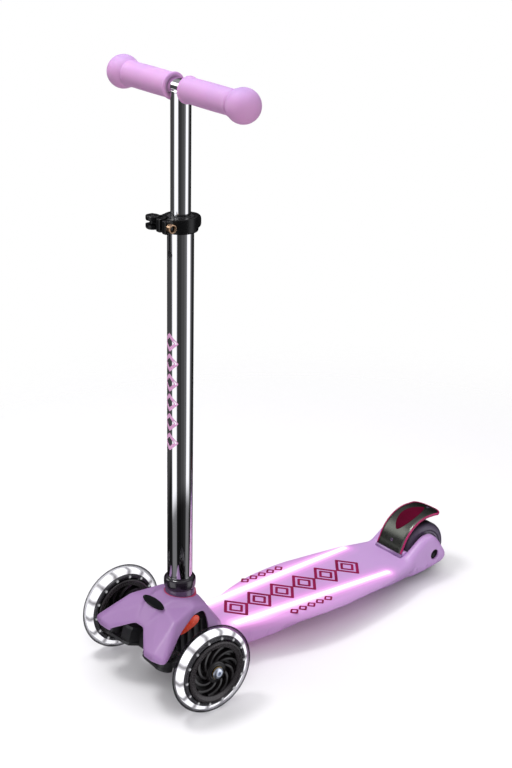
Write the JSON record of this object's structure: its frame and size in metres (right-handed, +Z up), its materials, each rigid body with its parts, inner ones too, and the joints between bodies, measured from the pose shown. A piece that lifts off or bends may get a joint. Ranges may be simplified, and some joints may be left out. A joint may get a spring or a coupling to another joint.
{
  "type": "three-wheeled kick scooter",
  "caption": "Lean-to-steer child's kick scooter: moulded deck with lit side strips, lit clear front wheels, lift-out height-adjustable T-bar and sprung rear fender brake.",
  "frame": {"origin": "on the ground, midway between the foremost and rearmost points, on the centre plane", "axes": "+X to the rider's left, +Y to the rear, +Z up"},
  "size_m": [0.275, 0.5652, 0.8086],
  "materials": {
    "lilac_shell": "satin, slightly translucent lilac moulding",
    "light_strip": "lit white light guide",
    "black_plastic": "glass-filled black nylon",
    "magenta_rubber": "soft dark magenta moulding",
    "gloss_black": "polished black",
    "smoked_plastic": "smoky translucent dark purple",
    "steel": "zinc-plated steel",
    "red_plastic": "orange-red",
    "chrome_tube": "polished chrome",
    "clamp_black": "satin black",
    "bronze": "bronze-coloured",
    "grip_rubber": "soft pink-lilac foam rubber",
    "bolt_silver": "bright plated",
    "washer_gold": "yellow plated",
    "clear_tyre": "clear cast polyurethane",
    "wheel_light": "lit white",
    "hub_black": "satin black",
    "rear_tyre": "black polyurethane",
    "rear_hub": "dark purple-grey",
    "fender_black": "dark charcoal, satin gloss",
    "fender_trim": "magenta edge",
    "fender_pad": "burgundy pad"
  },
  "bodies": {
    "root": {"deck": "lilac_shell", "light_strip_left": "light_strip", "light_strip_right": "light_strip", "battery_box": "black_plastic", "front_cover": "lilac_shell", "cover_gasket": "magenta_rubber", "badge": "gloss_black", "front_housing": "black_plastic", "bay_floor": "black_plastic", "column_socket": "smoked_plastic", "housing_screws": "steel", "kingpins": "steel", "rear_axle": "steel", "rear_spacers": "steel", "axle_caps": "gloss_black", "hinge_pin": "steel", "brake_spring": "steel"},
    "power_button": {"power_button": "magenta_rubber"},
    "release_button": {"release_button": "red_plastic"},
    "tbar_lower": {"lower_tube": "chrome_tube", "tube_plug": "black_plastic", "tube_bush": "black_plastic", "base_collar": "gloss_black", "clamp_band": "clamp_black", "clamp_bolt": "steel", "clamp_nut": "bronze", "lever_pin": "steel"},
    "tbar_upper": {"upper_tube": "chrome_tube", "tube_foot": "black_plastic", "handlebar": "chrome_tube", "grip_left": "grip_rubber", "grip_right": "grip_rubber"},
    "clamp_lever": {"clamp_lever": "clamp_black"},
    "carrier_left": {"knuckle_left": "black_plastic", "tie_pins_left": "steel", "steering_spring_left": "steel", "front_axle_left": "bolt_silver", "axle_washers_left": "washer_gold"},
    "carrier_right": {"knuckle_right": "black_plastic", "tie_pins_right": "steel", "steering_spring_right": "steel", "front_axle_right": "bolt_silver", "axle_washers_right": "washer_gold"},
    "tie_rod": {"tie_rod": "steel"},
    "wheel_left": {"front_tyre_left": "clear_tyre", "wheel_light_left": "wheel_light", "front_hub_left": "hub_black", "front_bearings_left": "steel"},
    "wheel_right": {"front_tyre_right": "clear_tyre", "wheel_light_right": "wheel_light", "front_hub_right": "hub_black", "front_bearings_right": "steel"},
    "rear_wheel": {"rear_tyre": "rear_tyre", "rear_hub": "rear_hub", "rear_bearings": "steel"},
    "brake": {"brake_fender": "fender_black", "fender_trim": "fender_trim", "fender_pad": "fender_pad", "brake_shoe": "steel"}
  },
  "joints": [
    {"name": "steer_left", "type": "hinge", "parent": "root", "child": "carrier_left", "pos_m": [0.057, -0.25935, 0.0672], "axis": [0, 0.342, 0.9397], "range_deg": [-16, 16], "stiffness_Nm_per_rad": 4},
    {"name": "steer_right", "type": "hinge", "parent": "root", "child": "carrier_right", "pos_m": [-0.057, -0.25935, 0.0672], "axis": [0, 0.342, 0.9397], "range_deg": [-16, 16], "stiffness_Nm_per_rad": 4},
    {"name": "tie_rod_pivot", "type": "hinge", "parent": "carrier_left", "child": "tie_rod", "pos_m": [0.057, -0.23304, 0.05762], "axis": [0, 0.342, 0.9397], "range_deg": [-16, 16]},
    {"name": "wheel_left_spin", "type": "hinge", "parent": "carrier_left", "child": "wheel_left", "pos_m": [0.1016, -0.21935, 0.06], "axis": [1, 0, 0], "continuous": true},
    {"name": "wheel_right_spin", "type": "hinge", "parent": "carrier_right", "child": "wheel_right", "pos_m": [-0.1016, -0.21935, 0.06], "axis": [1, 0, 0], "continuous": true},
    {"name": "rear_wheel_spin", "type": "hinge", "parent": "root", "child": "rear_wheel", "pos_m": [0, 0.24265, 0.04], "axis": [1, 0, 0], "continuous": true},
    {"name": "brake_press", "type": "hinge", "parent": "root", "child": "brake", "pos_m": [0, 0.19615, 0.04996], "axis": [-1, 0, 0], "range_deg": [0, 7], "stiffness_Nm_per_rad": 2},
    {"name": "tbar_lift", "type": "slide", "parent": "root", "child": "tbar_lower", "axis": [0, 0.0253, 0.9997], "range_m": [0, 0.066]},
    {"name": "bar_height", "type": "slide", "parent": "tbar_lower", "child": "tbar_upper", "axis": [0, 0.0253, 0.9997], "range_m": [-0.115, 0.105]},
    {"name": "clamp_release", "type": "hinge", "parent": "tbar_lower", "child": "clamp_lever", "pos_m": [-0.023, -0.20504, 0.62492], "axis": [0, 0.0253, 0.9997], "range_deg": [0, 120]},
    {"name": "release_press", "type": "slide", "parent": "root", "child": "release_button", "axis": [-1, 0, 0], "range_m": [0, 0.0032], "stiffness_N_per_m": 500},
    {"name": "power_press", "type": "slide", "parent": "root", "child": "power_button", "axis": [0, 0.0422, 0.9991], "range_m": [0, 0.0012], "stiffness_N_per_m": 500}
  ],
  "couplings": [
    {"joint": "steer_right", "follows": "steer_left", "ratio": 1},
    {"joint": "tie_rod_pivot", "follows": "steer_left", "ratio": -1}
  ]
}
